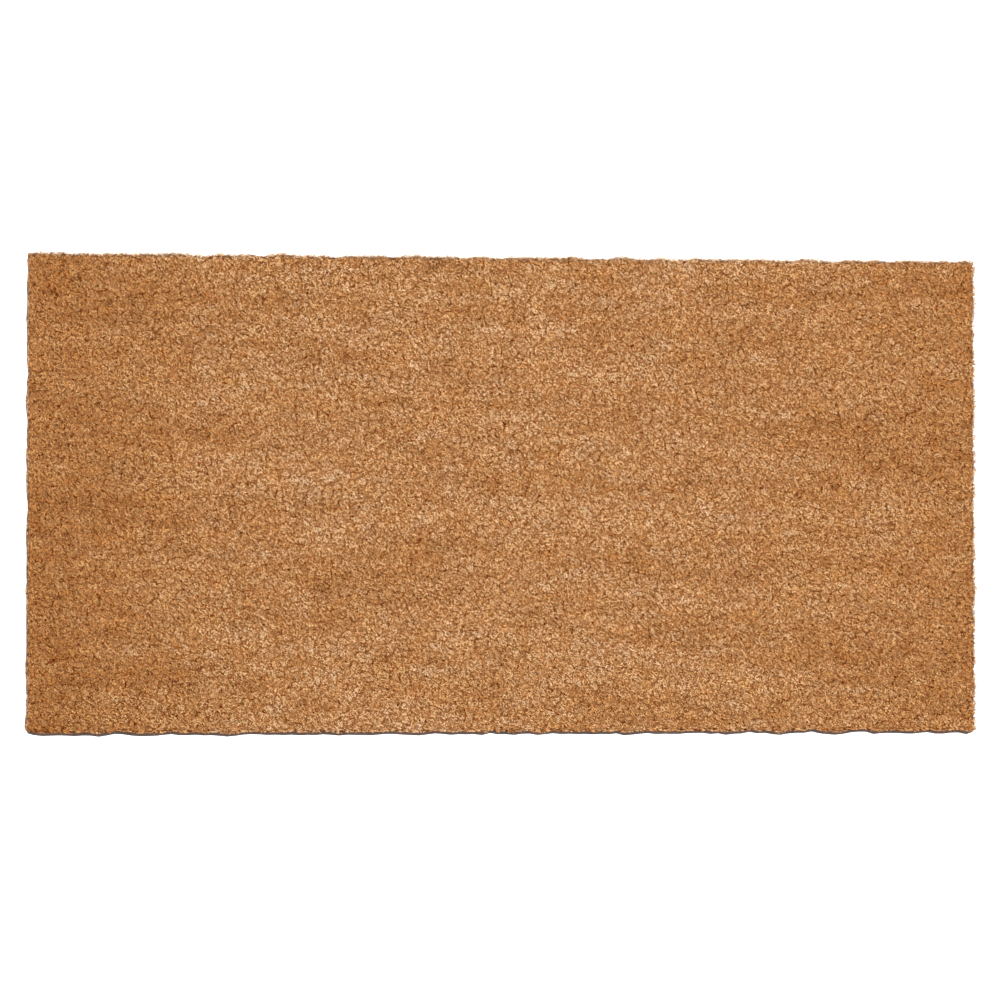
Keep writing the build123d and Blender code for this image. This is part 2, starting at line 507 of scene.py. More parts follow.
def pile_tree():
    """One strip of the pile: a grid of tufts, each a bunch of fibres that fan out to the sheared top."""
    tree, add, given = new_tree("Tufted pile", PILE_SOCKETS | OUTLINE_SOCKETS)
    sizes = []
    for count in ("Tufts Along", "Tufts Across"):
        gaps = add("ShaderNodeMath", {0: given[count], 1: 1.0}, operation="SUBTRACT")
        sizes.append(add("ShaderNodeMath", {0: gaps, 1: given["Tuft Pitch"]}, operation="MULTIPLY"))
    grid = {"Vertices X": given["Tufts Along"], "Vertices Y": given["Tufts Across"]}
    grid = add("GeometryNodeMeshGrid", {"Size X": sizes[0], "Size Y": sizes[1], **grid})
    tufts = add("GeometryNodeMeshToPoints", {"Mesh": grid})
    whole = (0.0, 1.0)
    spans = (flat_span(TUFT_STRAY), whole, flat_span(TUFT_SLOPE), flat_span(1), whole, flat_span(1), FIBRE_LENGTHS)
    stray, tone, lean, fan, low, slope, length = draw(add, given, spans)

    # The tufts stand a little out of line, and each leans its own way.
    strip = add("ShaderNodeCombineXYZ", {"Y": given["Centre Y"], "Z": given["Tip Height"]})
    shift = add("ShaderNodeVectorMath", {0: stray, 1: strip}, operation="ADD")
    tufts = add("GeometryNodeSetPosition", {"Geometry": tufts, "Offset": shift})
    tufts = add("GeometryNodeStoreNamedAttribute", {"Geometry": tufts, "Name": TUFT_TONE, "Value": tone})
    lean = {"Geometry": tufts, "Name": TUFT_LEAN, "Value": lean}
    tufts = add("GeometryNodeStoreNamedAttribute", lean, data_type="FLOAT_VECTOR")
    copies = {"Geometry": tufts, "Amount": given["Fibres per Tuft"]}
    tips = add("GeometryNodeDuplicateElements", copies, domain="POINT")

    # The fibres fan out from the middle of their tuft.
    reach = add("ShaderNodeMath", {0: given["Tuft Pitch"], 1: FAN_REACH}, operation="MULTIPLY")
    spot = add("ShaderNodeVectorMath", {0: fan, "Scale": reach}, operation="SCALE")
    place = add("GeometryNodeInputPosition")
    spot = add("ShaderNodeVectorMath", {0: place, 1: spot}, operation="ADD")

    # The shears leave the tips near one height, with hollows between the clumps.
    low = add("ShaderNodeMath", {0: low, 1: SHEAR_POWER}, operation="POWER")
    clumps = add("ShaderNodeTexNoise", {"Vector": place, "Scale": 1 / HOLLOW_SIZE, "Detail": 1.0})
    hollow = add("ShaderNodeMapRange", {"Value": clumps, "From Min": 0.48, "From Max": 0.75, "To Max": 0.8})
    low = reckon(add, "ShaderNodeMath", low, ("ADD", hollow), ("MULTIPLY", given["Shear Depth"]))
    napped = add("ShaderNodeVectorMath", {0: spot, 1: given["Nap"]}, operation="ADD")
    pit = pit_distance(add, sway(add, napped))
    pit = {"Value": pit, "From Min": 0.1, "From Max": 0.3, "To Min": 1.0, "To Max": 0.0}
    pit = add("ShaderNodeMapRange", pit)
    low = add("ShaderNodeMath", {0: pit, 1: given["Pit Depth"], 2: low}, operation="MULTIPLY_ADD")
    low = add("ShaderNodeCombineXYZ", {"Z": low})
    spot = add("ShaderNodeVectorMath", {0: spot, 1: low}, operation="SUBTRACT")

    # Nothing is left outside the cut.
    side = add("ShaderNodeVectorMath", {0: spot}, operation="SIGN")
    size = reckon(add, "ShaderNodeVectorMath", spot, ("ABSOLUTE",), ("MINIMUM", given["Half Size"]))
    spot = add("ShaderNodeVectorMath", {0: size, 1: side}, operation="MULTIPLY")

    # Each fibre slopes its own way, and near the cut it slopes outwards.
    slope = add("ShaderNodeVectorMath", {0: slope, "Scale": given["Spread"]}, operation="SCALE")
    lean = add("GeometryNodeInputNamedAttribute", {"Name": TUFT_LEAN}, data_type="FLOAT_VECTOR")
    slope = add("ShaderNodeVectorMath", {0: slope, 1: lean}, operation="ADD")
    slope = add("ShaderNodeVectorMath", {0: fan, 1: (FAN_SLOPE, FAN_SLOPE, 0), 2: slope}, operation="MULTIPLY_ADD")
    outward = reckon(add, "ShaderNodeVectorMath", slope, ("ABSOLUTE",), ("MULTIPLY", side), ("SCALE", CUT_SLOPE))
    room = add("ShaderNodeVectorMath", {0: given["Half Size"], 1: size}, operation="SUBTRACT")
    edge = {"Vector": room, 8: (CUT_DEPTH, CUT_DEPTH, 1), 9: (1, 1, 0), 10: (0, 0, 0)}
    edge = add("ShaderNodeMapRange", edge, "Vector", data_type="FLOAT_VECTOR")
    slope = {1: edge, 4: slope, 5: outward}
    slope = add("ShaderNodeMix", slope, 1, data_type="VECTOR", factor_mode="NON_UNIFORM")
    slope = reckon(add, "ShaderNodeVectorMath", slope, ("ADD", (0, 0, 1)), ("NORMALIZE",))
    length = add("ShaderNodeMath", {0: given["Fibre Length"], 1: length}, operation="MULTIPLY")
    stub = add("ShaderNodeMath", {0: pit, 1: -PIT_CLIP, 2: 1.0}, operation="MULTIPLY_ADD")
    length = add("ShaderNodeMath", {0: length, 1: stub}, operation="MULTIPLY")
    line = add("ShaderNodeVectorMath", {0: slope, "Scale": length}, operation="SCALE")
    line = {"Geometry": tips, "Name": FIBRE_LINE, "Value": line}
    tips = add("GeometryNodeStoreNamedAttribute", line, data_type="FLOAT_VECTOR")

    tips = follow_outline(add, given, tips, spot)
    tips = add("GeometryNodeSetPosition", {"Geometry": tips, "Offset": given["Nap"]})
    fibres = plant_fibres(add, given, tips, *PILE_FIBRES)
    add("NodeGroupOutput", {"Result": fibres})
    return tree


# ------------------------------------------------------------------ cut edges

EDGE_SOCKETS = sockets(
    Int="Steps, Layers, Map Cells, Seed",
    Float="Root Depth, Root Height, Rise, Fibre Width",
    Vector="Nap",
    Material="Material",
)
EDGE_STEP = 1.6 * MM
EDGE_LAYERS = 6
ROOT_STRAY = 1.5 * MM
CUT_TILT = 1.4 * MM
# The square of the least height of a cut fibre, as a share of the greatest
LOWEST_CUT = 0.02


def edge_tree():
    """The fibres that the knife bared: they stand side by side all round, from the backing to the sheared top."""
    tree, add, given = new_tree("Cut edges", EDGE_SOCKETS | OUTLINE_SOCKETS)
    full = add("ShaderNodeVectorMath", {0: given["Half Size"], "Scale": 2.0}, operation="SCALE")
    full = add("ShaderNodeSeparateXYZ", {0: full}).node.outputs
    loop = add("GeometryNodeCurvePrimitiveQuadrilateral", {"Width": full["X"], "Height": full["Y"]})
    stops = add("GeometryNodeCurveToPoints", {"Curve": loop, "Count": given["Steps"]}, mode="COUNT")
    copies = {"Geometry": stops, "Amount": given["Layers"]}
    roots = add("GeometryNodeDuplicateElements", copies, domain="POINT")
    spans = (flat_span(ROOT_STRAY), (0.0, 1.0), (LOWEST_CUT, 1.0), flat_span(CUT_TILT))
    stray, tone, high, tilt = draw(add, given, spans)

    # Which way is out, from the side that the point is within a millimetre of
    place = add("GeometryNodeInputPosition")
    side = add("ShaderNodeVectorMath", {0: place}, operation="SIGN")
    size = add("ShaderNodeVectorMath", {0: place}, operation="ABSOLUTE")
    inner = add("ShaderNodeVectorMath", {0: given["Half Size"], 1: (MM, MM, 0)}, operation="SUBTRACT")
    on_side = reckon(add, "ShaderNodeVectorMath", size, ("SUBTRACT", inner), ("MAXIMUM", (0, 0, 0)), ("SIGN",))
    outward = add("ShaderNodeVectorMath", {0: on_side, 1: side}, operation="MULTIPLY")

    # The roots keep inside the cut.
    steps = (("ADD", stray), ("ABSOLUTE",), ("MINIMUM", given["Half Size"]), ("MULTIPLY", side))
    spot = reckon(add, "ShaderNodeVectorMath", place, *steps)
    depth = add("ShaderNodeMath", {0: tone, 1: given["Root Depth"]}, operation="MULTIPLY")
    inset = add("ShaderNodeVectorMath", {0: outward, "Scale": depth}, operation="SCALE")
    spot = add("ShaderNodeVectorMath", {0: spot, 1: inset}, operation="SUBTRACT")
    floor = add("ShaderNodeCombineXYZ", {"Z": given["Root Height"]})
    spot = add("ShaderNodeVectorMath", {0: spot, 1: floor}, operation="ADD")

    # Most of them reach the sheared top, and the taller ones lean over with the nap.
    high = add("ShaderNodeMath", {0: high, 1: 0.5}, operation="POWER")
    rise = add("ShaderNodeMath", {0: high, 1: given["Rise"]}, operation="MULTIPLY")
    rise = add("ShaderNodeCombineXYZ", {"Z": rise})
    nap = add("ShaderNodeVectorMath", {0: given["Nap"], "Scale": high}, operation="SCALE")
    line = reckon(add, "ShaderNodeVectorMath", tilt, ("ADD", nap), ("ADD", rise))
    line = {"Geometry": roots, "Name": FIBRE_LINE, "Value": line}
    roots = add("GeometryNodeStoreNamedAttribute", line, data_type="FLOAT_VECTOR")
    roots = add("GeometryNodeStoreNamedAttribute", {"Geometry": roots, "Name": TUFT_TONE, "Value": tone})

    roots = follow_outline(add, given, roots, spot)
    line = add("GeometryNodeInputNamedAttribute", {"Name": FIBRE_LINE}, data_type="FLOAT_VECTOR")
    tips = add("GeometryNodeSetPosition", {"Geometry": roots, "Offset": line})
    fibres = plant_fibres(add, given, tips, *CUT_FIBRES)
    add("NodeGroupOutput", {"Result": fibres})
    return tree


# ------------------------------------------------------------------ loose fibres

LOOSE_SOCKETS = sockets(
    Int="Count, Map Cells, Seed",
    Float="Fibre Length, Fibre Width, Rest Height",
    Vector="Area",
    Material="Material",
)
# How far from level a loose fibre may lie
LOOSE_SLOPE = 0.12


def loose_tree():
    """Long pale fibres that have worked loose and lie on the pile."""
    tree, add, given = new_tree("Loose fibres", LOOSE_SOCKETS)
    points = add("GeometryNodePoints", {"Count": given["Count"]})
    least = add("ShaderNodeVectorMath", {0: given["Area"], "Scale": -1.0}, operation="SCALE")
    spans = ((least, given["Area"]), (0.0, math.tau), (0.5, 1.5), (-LOOSE_SLOPE, LOOSE_SLOPE))
    spot, turn, length, rise = draw(add, given, spans)
    rest = add("ShaderNodeCombineXYZ", {"Z": given["Rest Height"]})
    spot = add("ShaderNodeVectorMath", {0: spot, 1: rest}, operation="ADD")
    ahead = add("ShaderNodeMath", {0: turn}, operation="COSINE")
    aside = add("ShaderNodeMath", {0: turn}, operation="SINE")
    heading = add("ShaderNodeCombineXYZ", {"X": ahead, "Y": aside, "Z": rise})
    length = add("ShaderNodeMath", {0: length, 1: given["Fibre Length"]}, operation="MULTIPLY")
    line = add("ShaderNodeVectorMath", {0: heading, "Scale": length}, operation="SCALE")
    line = {"Geometry": points, "Name": FIBRE_LINE, "Value": line}
    points = add("GeometryNodeStoreNamedAttribute", line, data_type="FLOAT_VECTOR")
    points = add("GeometryNodeStoreNamedAttribute", {"Geometry": points, "Name": TUFT_TONE, "Value": 1.0})
    tips = add("GeometryNodeSetPosition", {"Geometry": points, "Position": spot})
    fibres = plant_fibres(add, given, tips, *LOOSE_FIBRES)
    add("NodeGroupOutput", {"Result": fibres})
    return tree


# ------------------------------------------------------------------ slabs

SLAB_SOCKETS = sockets(
    Int="Columns, Rows, Levels",
    Float="Bottom, Top, Inset, Rim, Lumps",
    Material="Material",
)
LUMP_SIZE = 12 * MM
# Past this share of its half height, a point of the block is on its top or bottom face.
FACE_LEVEL = 0.95


def slab_tree():
    """A layer with the outline of the mat: flat, eased along its rims, and lumpy on top where it is asked to be."""
    tree, add, given = new_tree("Layer", SLAB_SOCKETS | OUTLINE_SOCKETS)
    inset = add("ShaderNodeCombineXYZ", {"X": given["Inset"], "Y": given["Inset"]})
    reach = add("ShaderNodeVectorMath", {0: given["Half Size"], 1: inset}, operation="SUBTRACT")
    # A cube that reaches one unit from its middle is shaped afterwards, so that its levels can be told apart.
    counts = {"Vertices X": given["Columns"], "Vertices Y": given["Rows"], "Vertices Z": given["Levels"]}
    block = add("GeometryNodeMeshCube", {"Size": (2, 2, 2), **counts})
    place = add("ShaderNodeSeparateXYZ", {0: add("GeometryNodeInputPosition")}).node.outputs
    height = add("ShaderNodeMath", {0: place["Z"]}, operation="ABSOLUTE")
    outer = add("ShaderNodeMath", {0: height, 1: FACE_LEVEL}, operation="GREATER_THAN")
    rim = add("ShaderNodeMath", {0: outer, 1: given["Rim"]}, operation="MULTIPLY")
    rim = add("ShaderNodeCombineXYZ", {"X": rim, "Y": rim})
    flat = add("ShaderNodeCombineXYZ", {"X": place["X"], "Y": place["Y"]})
    flat = add("ShaderNodeVectorMath", {0: flat, 1: reach}, operation="MULTIPLY")
    side = add("ShaderNodeVectorMath", {0: flat}, operation="SIGN")
    size = add("ShaderNodeVectorMath", {0: flat}, operation="ABSOLUTE")
    most = add("ShaderNodeVectorMath", {0: reach, 1: rim}, operation="SUBTRACT")
    size = add("ShaderNodeVectorMath", {0: size, 1: most}, operation="MINIMUM")
    flat = add("ShaderNodeVectorMath", {0: size, 1: side}, operation="MULTIPLY")
    flat = add("ShaderNodeSeparateXYZ", {0: flat}).node.outputs

    inner = add("ShaderNodeMath", {0: 1.0, 1: outer}, operation="SUBTRACT")
    ease = add("ShaderNodeMath", {0: inner, 1: given["Rim"]}, operation="MULTIPLY")
    low = add("ShaderNodeMath", {0: given["Bottom"], 1: ease}, operation="ADD")
    high = add("ShaderNodeMath", {0: given["Top"], 1: ease}, operation="SUBTRACT")
    # All that is above the cube's middle goes to the top of the layer, and all below it to the bottom.
    level = {"Value": place["Z"], "From Min": -0.01, "From Max": 0.01, "To Min": low, "To Max": high}
    level = add("ShaderNodeMapRange", level)
    where = add("ShaderNodeCombineXYZ", {"X": flat["X"], "Y": flat["Y"]})
    lumps = add("ShaderNodeTexNoise", {"Vector": where, "Scale": 1 / LUMP_SIZE, "Detail": 2.0})
    lumps = reckon(add, "ShaderNodeMath", lumps, ("SUBTRACT", 0.5), ("MULTIPLY", given["Lumps"]))
    upper = add("ShaderNodeMath", {0: place["Z"], 1: FACE_LEVEL}, operation="GREATER_THAN")
    level = add("ShaderNodeMath", {0: lumps, 1: upper, 2: level}, operation="MULTIPLY_ADD")
    spot = add("ShaderNodeCombineXYZ", {"X": flat["X"], "Y": flat["Y"], "Z": level})
    layer = follow_outline(add, given, block, spot)
    layer = add("GeometryNodeSetShadeSmooth", {"Geometry": layer, "Shade Smooth": False})
    layer = add("GeometryNodeRealizeInstances", {0: layer})
    layer = add("GeometryNodeSetMaterial", {"Geometry": layer, "Material": given["Material"]})
    add("NodeGroupOutput", {"Result": layer})
    return tree


# ------------------------------------------------------------------ materials


def new_material(name, roughness, specular):
    """A plain material with its own even roughness: it, what adds its nodes, what links them, its shader's inputs."""
    material = bpy.data.materials.new(name)
    material.use_nodes = True
    tree = material.node_tree
    shader = tree.nodes["Principled BSDF"].inputs
    shader["Roughness"].default_value = roughness
    shader["Specular IOR Level"].default_value = specular
    return material, partial(add_node, tree), tree.links.new, shader


# Each fibre has its own tone, and those of a tuft, which come from one yarn, share this much of it.
YARN_SHARE = 0.25
# Paler and browner patches: whether they run along the mat as the yarns do, their size, and how strong they are
PATCHES = ((False, 16 * MM, 0.36), (True, 10 * MM, 0.35), (True, 40 * MM, 0.55))
# The ends are a little browner than the middle, the left one most: where this starts, where it ends, and how much
END_SHADES = ((-0.46, -0.2, 0.74), (0.48, 0.15, 0.8))
# Painted shade of the slits between fibres. Real slits are a quarter of this size, too fine to show, so they are
# drawn this coarse.
SLIT_SHADE_SIZE = 0.95 * MM
# Less light is less of blue than of green, and less of green than of red.
CHANNEL_POWERS = {"X": 0.62, "Y": 1.25, "Z": 2.3}
# A crack of painted shade is open for about this far, and then closed for as far again.
CRACK_SIZE = 4 * MM
RIPE_SIZE = 18 * MM
RIM_TINT_WIDTH = 3.5 * MM
PACKED_STREAK = 0.9 * MM
# From thread to thread of the belt that pressed the backing, and the rest of its surface
BELT_THREAD = 2 * MM
PVC_CLOUD = 30 * MM
PVC_GRAIN = 0.8 * MM
PAPER_CLOUD = 0.4


def coir_fibre_material(colours):
    """Retted coconut husk fibre, spun and sheared."""
    # It gives the eye a dry, woody tan with no shine, over darker and redder gaps that are painted shade.
    material, add, link, shader = new_material("Sheared coir fibre", 0.8, 0.02)
    where = add("ShaderNodeTexCoord", result="Object")
    fibre = add("ShaderNodeAttribute", result="Fac", attribute_name=FIBRE_TONE)
    tuft = add("ShaderNodeAttribute", result="Fac", attribute_name=TUFT_TONE)
    tone = add("ShaderNodeMath", {0: fibre, 1: 1 - YARN_SHARE}, operation="MULTIPLY")
    tone = add("ShaderNodeMath", {0: tuft, 1: YARN_SHARE, 2: tone}, operation="MULTIPLY_ADD")
    along = add("ShaderNodeMapping", {"Vector": where, "Scale": (0.15, 1.0, 0.0)})
    shade = 1.0
    for runs_along, size, strength in PATCHES:
        patch = add("ShaderNodeTexNoise", {"Vector": along if runs_along else where, "Scale": 1 / size})
        patch = add("ShaderNodeMath", {0: patch, 1: 0.5}, operation="SUBTRACT")
        tone = add("ShaderNodeMath", {0: patch, 1: strength, 2: tone}, operation="MULTIPLY_ADD")
        shade = add("ShaderNodeMath", {0: patch, 1: strength, 2: shade}, operation="MULTIPLY_ADD")
    colour = add("ShaderNodeValToRGB", {"Fac": tone})
    stops = ((0.0, colours.deep), (0.12, colours.red_brown), (0.35, colours.gold), (1.0, colours.straw))
    elements = colour.node.color_ramp.elements
    while len(elements) < len(stops):
        elements.new(1.0)
    for element, (place, husk) in zip(elements, stops):
        element.position = place
        element.color = (*husk, 1.0)

    # Some of the husk was riper, and is redder.
    ripe = add("ShaderNodeMapping", {"Vector": where, "Location": (0.3, 0.1, 0.0), "Scale": (0.4, 1.0, 0.0)})
    ripe = add("ShaderNodeTexNoise", {"Vector": ripe, "Scale": 1 / RIPE_SIZE, "Detail": 3.0})
    ripe = add("ShaderNodeMath", {0: ripe, 1: 0.5}, operation="SUBTRACT")
    ripe = reckon(add, "ShaderNodeVectorMath", (0.18, 0.0, -0.5), ("SCALE", ripe), ("ADD", (1.0, 1.0, 1.0)))
    colour = add("ShaderNodeVectorMath", {0: colour, 1: ripe}, operation="MULTIPLY")

    place = add("ShaderNodeSeparateXYZ", {0: where}).node.outputs
    for start, end, depth in END_SHADES:
        end_shade = {"Value": place["X"], "From Min": start, "From Max": end, "To Min": depth, "To Max": 1.0}
        end_shade = add("ShaderNodeMapRange", end_shade, interpolation_type="SMOOTHSTEP")
        shade = add("ShaderNodeMath", {0: shade, 1: end_shade}, operation="MULTIPLY")

    # Painted shade of the slits between fibres lies along the nap. Clumps of tufts have cracks of painted shade round
    # them, here and there.
    slit_shade = {"Vector": along_nap(add, where), "Scale": 1 / SLIT_SHADE_SIZE, "Detail": 1.0, "Roughness": 0.6}
    slit_shade = add("ShaderNodeTexNoise", slit_shade)
    swayed = sway(add, where)
    cells = {"Vector": swayed, "Scale": 1 / CLUMP_SIZE}
    clump = add("ShaderNodeTexVoronoi", cells, "Color", voronoi_dimensions="2D")
    crack_shade = add("ShaderNodeTexVoronoi", cells, "Distance", voronoi_dimensions="2D", feature="DISTANCE_TO_EDGE")
    crack_shade = add("ShaderNodeMapRange", {"Value": crack_shade, "From Min": 0.03, "From Max": 0.1})
    level = add("ShaderNodeVectorMath", {0: where, 1: (1, 1, 0)}, operation="MULTIPLY")
    closed = add("ShaderNodeTexNoise", {"Vector": level, "Scale": 1 / CRACK_SIZE})
    closed = add("ShaderNodeMapRange", {"Value": closed, "From Min": 0.47, "From Max": 0.56})
    crack_shade = add("ShaderNodeMath", {0: crack_shade, 1: closed}, operation="MAXIMUM")
    # What each mark is drawn from, where it starts and ends, and the shade at either end
    marks = (
        # Painted shade deepens the colour down among the tufts.
        (place["Z"], 8.5 * MM, 12.5 * MM, 0.4, 1.0),
        # The slits are painted shade between the fibres.
        (slit_shade, 0.35, 0.43, 0.02, 1.0),
        # The loose fibres, whose tones are over one, are bleached.
        (fibre, 1.0, 1.5, 1.0, 1.2),
        # Painted shade darkens the gaps between tufts, and makes them redder than the rest.
        (pit_distance(add, swayed), 0.1, 0.2, 0.02, 1.0),
        # Each clump has its own shade.
        (clump, 0.0, 1.0, 0.85, 1.15),
        # The cracks round the clumps are painted shade.
        (crack_shade, 0.0, 1.0, 0.08, 1.0),
    )
    for value, start, end, low, high in marks:
        mark = {"Value": value, "From Min": start, "From Max": end, "To Min": low, "To Max": high}
        shade = {0: shade, 1: add("ShaderNodeMapRange", mark)}
        shade = add("ShaderNodeMath", shade, operation="MULTIPLY")
    # Nothing is much paler than the rest.
    shade = add("ShaderNodeMath", {0: shade, 1: 1.3, 2: 0.4}, operation="SMOOTH_MIN")
    shades = {}
    for channel, power in CHANNEL_POWERS.items():
        shades[channel] = add("ShaderNodeMath", {0: shade, 1: power}, operation="POWER")
    shade = add("ShaderNodeCombineXYZ", shades)
    colour = add("ShaderNodeVectorMath", {0: colour, 1: shade}, operation="MULTIPLY")

    # Painted shade darkens the tips that stand out, where the light falls most fully.
    tip_shade = {"Value": place["Z"], "From Min": 11.5 * MM, "From Max": 15 * MM, "To Min": 1.0, "To Max": 0.6}
    tip_shade = add("ShaderNodeMapRange", tip_shade)
    colour = add("ShaderNodeVectorMath", {0: colour, "Scale": tip_shade}, operation="SCALE")
    # The fibres along the cut are mixed up to half way towards a pale grey brown.
    rim = reckon(add, "ShaderNodeVectorMath", where, ("ABSOLUTE",), ("SUBTRACT", (MAT_LENGTH / 2, MAT_WIDTH / 2, 0)))
    rim = add("ShaderNodeSeparateXYZ", {0: rim}).node.outputs
    rim = add("ShaderNodeMath", {0: rim["X"], 1: rim["Y"]}, operation="MAXIMUM")
    rim_mix = add("ShaderNodeMapRange", {"Value": rim, "From Min": -RIM_TINT_WIDTH, "From Max": 0.0, "To Max": 0.5})
    rim_mix = {0: rim_mix, 6: colour, 7: (*colours.rim_tint, 1.0)}
    link(add("ShaderNodeMix", rim_mix, 2, data_type="RGBA"), shader["Base Color"])
    return material


def packed_coir_material(colours):
    """The lower half of the pile, where the fibres are packed too tightly to be told apart."""
    # It gives the eye dark upright streaks behind the outer fibres; its darkness is painted shade, as it lies under
    # the pile.
    material, add, link, shader = new_material("Packed coir", 0.85, 0.1)
    where = add("ShaderNodeTexCoord", result="Object")
    # Fibres stand upright in it, so its streaks do too.
    upright = add("ShaderNodeMapping", {"Vector": where, "Scale": (1.0, 1.0, 0.12)})
    streak = {"Vector": upright, "Scale": 1 / PACKED_STREAK, "Detail": 3.0, "Roughness": 0.6}
    streak = add("ShaderNodeTexNoise", streak)
    # Both colours are darkened far below the fibres' own: painted shade.
    clouded(add, link, shader, streak, (0.3, 0.75), scaled(colours.deep, 0.22), scaled(colours.red_brown, 0.8))
    bump = add("ShaderNodeBump", {"Height": streak, "Strength": 1.0, "Distance": 0.5 * MM})
    link(bump, shader["Normal"])
    return material


def pvc_material(colours):
    """Soft PVC, spread as paste and pressed by a woven belt underneath."""
    # It gives the eye a matt, clouded grey brown with a fine cloth print.
    material, add, link, shader = new_material("Pressed PVC", 0.62, 0.35)
    where = add("ShaderNodeTexCoord", result="Object")
    cloud = add("ShaderNodeTexNoise", {"Vector": where, "Scale": 1 / PVC_CLOUD, "Detail": 4.0})
    clouded(add, link, shader, cloud, (0.3, 0.7), scaled(colours.pvc, 0.8), scaled(colours.pvc, 1.25))
    # The wave texture multiplies its scale by 20, and a thread is one turn of it.
    threads = []
    for direction in ("X", "Y"):
        thread = {"Vector": where, "Scale": math.tau / 20 / BELT_THREAD}
        threads.append(add("ShaderNodeTexWave", thread, "Fac", bands_direction=direction))
    weave = add("ShaderNodeMath", {0: threads[0], 1: threads[1]}, operation="MULTIPLY")
    grain = add("ShaderNodeTexNoise", {"Vector": where, "Scale": 1 / PVC_GRAIN})
    relief = add("ShaderNodeMath", {0: grain, 1: 0.5, 2: weave}, operation="MULTIPLY_ADD")
    bump = add("ShaderNodeBump", {"Height": relief, "Strength": 1.0, "Distance": 0.15 * MM})
    link(bump, shader["Normal"])
    return material


def scaled(colour, factor):
    """A colour made darker or lighter."""
    return tuple(factor * channel for channel in colour)


def clouded(add, link, shader, cloud, span, dark, lit):
    """Colours a surface from dark to lit as its cloud goes from one end of the span to the other."""
    share = add("ShaderNodeMapRange", {"Value": cloud, "From Min": span[0], "From Max": span[1]})
    mix = {0: share, 6: (*dark, 1.0), 7: (*lit, 1.0)}
    link(add("ShaderNodeMix", mix, 2, data_type="RGBA"), shader["Base Color"])


def floor_material(colours):
    """Matt white paper."""
    # It gives the eye an even white with barely a shadow.
    material, add, link, shader = new_material("Matt paper", 0.9, 0.1)
    where = add("ShaderNodeTexCoord", result="Object")
    cloud = add("ShaderNodeTexNoise", {"Vector": where, "Scale": 1 / PAPER_CLOUD})
    clouded(add, link, shader, cloud, (0.3, 0.7), scaled(colours.floor, 0.99), tuple(colours.floor))
    return material


# ------------------------------------------------------------------ operators


def shared(kind, name, build, *args):
    """The tree or material of that name, built the first time that it is asked for."""
    return kind.get(name) or build(*args)


def shared_trees():
    """Makes the trees that other trees use."""
    for name, build in (("Knife-cut outline", outline_tree), ("Fibre", fibre_tree)):
        shared(bpy.data.node_groups, name, build)


def fibre_values(scene, fibres, width, seed):
    """What every tree that plants fibres is given, for this many of them and this share of the fibre width."""
    return {
        "Fibre Width": width * scene.door_mat_pile.fibre_width,
        "Map Cells": math.ceil(math.sqrt(fibres)),
        "Seed": seed,
        "Material": shared(bpy.data.materials, "Sheared coir fibre", coir_fibre_material, scene.door_mat_colours),
    }


# Seeds: one for each strip of the pile, so far apart, one for the cut edges and one for the loose fibres
STRIP_SEEDS = 100
CUT_SEED = 5000
LOOSE_SEED = 6000
# How far under the shears the tallest cut fibres end
CUT_SHORT = 0.8 * MM
# The least way from a loose fibre to the edge, and how far under the top of the pile it rests
LOOSE_MARGIN = 8 * MM
LOOSE_SINK = 0.6 * MM


class DOORMAT_OT_pile(bpy.types.Operator):
    """Grows the tufted pile, strip by strip"""

    bl_idname = "door_mat.pile"
    bl_label = "Tufted pile"

    def execute(self, context):
        shared_trees()
        scene = context.scene
        pile = scene.door_mat_pile
        outline = scene.door_mat_outline
        tree = pile_tree()
        along = round(MAT_LENGTH / pile.tuft_pitch)
        across = round(MAT_WIDTH / pile.tuft_pitch / pile.strips)
        strip_width = MAT_WIDTH / pile.strips
        for strip in range(pile.strips):
            values = {
                **outline_values(outline, outline.bare_rim),
                "Tufts Along": along,
                "Tufts Across": across,
                "Tuft Pitch": pile.tuft_pitch,
                "Centre Y": CAD_LOW.y + (strip + 0.5) * strip_width,
                "Fibres per Tuft": pile.fibres_per_tuft,
                "Fibre Length": pile.fibre_length,
                "Tip Height": PILE_TOP,
                "Shear Depth": pile.shear_depth,
                "Pit Depth": pile.pit_depth,
                "Spread": pile.spread,
                "Nap": (*pile.nap, 0.0),
                **fibre_values(scene, along * across * pile.fibres_per_tuft, 1.0, STRIP_SEEDS * (strip + 1)),
            }
            grow(f"coir_pile_{strip + 1:02d}", tree, values)
        return {"FINISHED"}


class DOORMAT_OT_cut_edges(bpy.types.Operator):
    """Grows the fibres that the knife bared round the mat"""

    bl_idname = "door_mat.cut_edges"
    bl_label = "Cut edges"

    def execute(self, context):
        shared_trees()
        scene = context.scene
        outline = scene.door_mat_outline
        steps = round(2 * (MAT_LENGTH + MAT_WIDTH) / EDGE_STEP)
        values = {
            **outline_values(outline, outline.bare_rim),
            "Steps": steps,
            "Layers": EDGE_LAYERS,
            "Root Depth": 1.6 * MM,
            "Root Height": BACKING_TOP,
            "Rise": PILE_TOP - BACKING_TOP - CUT_SHORT,
            "Nap": (*scene.door_mat_pile.nap, 0.0),
            **fibre_values(scene, steps * EDGE_LAYERS, 0.85, CUT_SEED),
        }
        grow("coir_cut_edges", edge_tree(), values)
        return {"FINISHED"}


class DOORMAT_OT_loose_fibres(bpy.types.Operator):
    """Lays loose fibres on the pile"""

    bl_idname = "door_mat.loose_fibres"
    bl_label = "Loose fibres"

    def execute(self, context):
        shared_trees()
        scene = context.scene
        loose_fibres = scene.door_mat_pile.loose_fibres
        values = {
            "Count": loose_fibres,
            "Area": (MAT_LENGTH / 2 - LOOSE_MARGIN, MAT_WIDTH / 2 - LOOSE_MARGIN, 0.4 * MM),
            "Fibre Length": 7 * MM,
            "Rest Height": PILE_TOP - LOOSE_SINK,
            **fibre_values(scene, loose_fibres, 0.9, LOOSE_SEED),
        }
        grow("coir_loose_fibres", loose_tree(), values)
        return {"FINISHED"}


